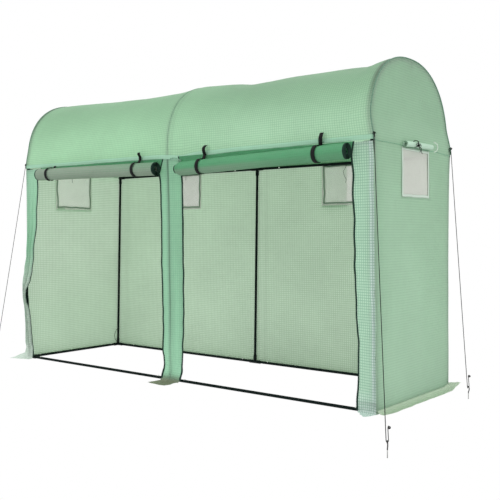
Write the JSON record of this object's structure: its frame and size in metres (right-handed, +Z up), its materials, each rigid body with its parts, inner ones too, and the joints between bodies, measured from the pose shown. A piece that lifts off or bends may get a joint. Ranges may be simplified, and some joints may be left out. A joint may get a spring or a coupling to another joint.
{
  "type": "walk-in garden greenhouse",
  "caption": "Long walk-in garden greenhouse with an arched roof, a steel tube frame under a sewn sheet cover, roll-up doors, net windows, ground skirts, guy ropes and pegs.",
  "frame": {"origin": "on the ground in the middle of the house, ropes and pegs left out", "axes": "+X along the length to the right-hand end, -Y towards the side with the two doors, +Z up"},
  "size_m": [3.5475, 1.8702, 2.0335],
  "materials": {
    "frame_steel": "satin dark green powder coat on steel tube",
    "connector_steel": "satin dark green pressed steel sockets",
    "cover_sheet": "pale green translucent woven plastic sheet with a reinforcing grid",
    "door_sheet": "the same sheet rolled up, darker where it lies in layers",
    "window_net": "fine grey insect net",
    "webbing": "black woven webbing",
    "rope": "dark twisted cord",
    "peg_steel": "steel wire with a dark coated hook"
  },
  "bodies": {
    "house": {"post_front_left": "frame_steel", "post_front_middle": "frame_steel", "post_front_right": "frame_steel", "post_rear_left": "frame_steel", "post_rear_middle": "frame_steel", "post_rear_right": "frame_steel", "bow_left": "frame_steel", "bow_middle": "frame_steel", "bow_right": "frame_steel", "base_rail_front_left": "frame_steel", "base_rail_front_right": "frame_steel", "base_rail_rear_left": "frame_steel", "base_rail_rear_right": "frame_steel", "base_rail_left_end": "frame_steel", "base_rail_right_end": "frame_steel", "eave_rail_front_left": "frame_steel", "eave_rail_front_right": "frame_steel", "eave_rail_rear_left": "frame_steel", "eave_rail_rear_right": "frame_steel", "ridge_rail_left": "frame_steel", "ridge_rail_right": "frame_steel", "base_connector_front_left": "connector_steel", "base_connector_front_middle": "connector_steel", "base_connector_front_right": "connector_steel", "base_connector_rear_left": "connector_steel", "base_connector_rear_middle": "connector_steel", "base_connector_rear_right": "connector_steel", "eave_connector_front_left": "connector_steel", "eave_connector_front_middle": "connector_steel", "eave_connector_front_right": "connector_steel", "eave_connector_rear_left": "connector_steel", "eave_connector_rear_middle": "connector_steel", "eave_connector_rear_right": "connector_steel", "cover_roof": "cover_sheet", "cover_rear_wall": "cover_sheet", "cover_left_end": "cover_sheet", "cover_right_end": "cover_sheet", "cover_front_left_strip": "cover_sheet", "cover_front_middle_strip": "cover_sheet", "cover_front_right_strip": "cover_sheet", "window_net_left_end": "window_net", "window_net_right_end": "window_net", "window_net_rear_left": "window_net", "window_net_rear_right": "window_net", "door_strap_left_a": "webbing", "door_strap_left_b": "webbing", "door_strap_right_a": "webbing", "door_strap_right_b": "webbing", "guy_rope_front_right": "rope", "guy_rope_rear_right": "rope", "guy_rope_front_left": "rope", "ground_peg_front_right": "peg_steel", "ground_peg_rear_right": "peg_steel", "ground_peg_front_left": "peg_steel"},
    "left_door": {"door_left": "door_sheet"},
    "right_door": {"door_right": "door_sheet"},
    "left_end_flap": {"window_flap_left_end": "cover_sheet"},
    "right_end_flap": {"window_flap_right_end": "cover_sheet"},
    "rear_left_flap": {"window_flap_rear_left": "cover_sheet"},
    "rear_right_flap": {"window_flap_rear_right": "cover_sheet"}
  },
  "joints": [
    {"name": "left_door_slide", "type": "slide", "parent": "house", "child": "left_door", "axis": [0, 0, -1], "range_m": [0, 1.36], "deforming": ["door_strap_left_a", "door_strap_left_b"]},
    {"name": "right_door_slide", "type": "slide", "parent": "house", "child": "right_door", "axis": [0, 0, -1], "range_m": [0, 1.36], "deforming": ["door_strap_right_a", "door_strap_right_b"]},
    {"name": "left_end_flap_hinge", "type": "hinge", "parent": "house", "child": "left_end_flap", "pos_m": [-1.5009, 0, 1.499], "axis": [0, 1, 0], "range_deg": [0, 110]},
    {"name": "rear_right_flap_hinge", "type": "hinge", "parent": "house", "child": "rear_right_flap", "pos_m": [0.76, 0.5312, 1.499], "axis": [1, 0, 0], "range_deg": [0, 110]},
    {"name": "right_end_flap_slide", "type": "slide", "parent": "house", "child": "right_end_flap", "axis": [0, 0, -1], "range_m": [0, 0.285]},
    {"name": "rear_left_flap_slide", "type": "slide", "parent": "house", "child": "rear_left_flap", "axis": [0, 0, -1], "range_m": [0, 0.285]}
  ]
}
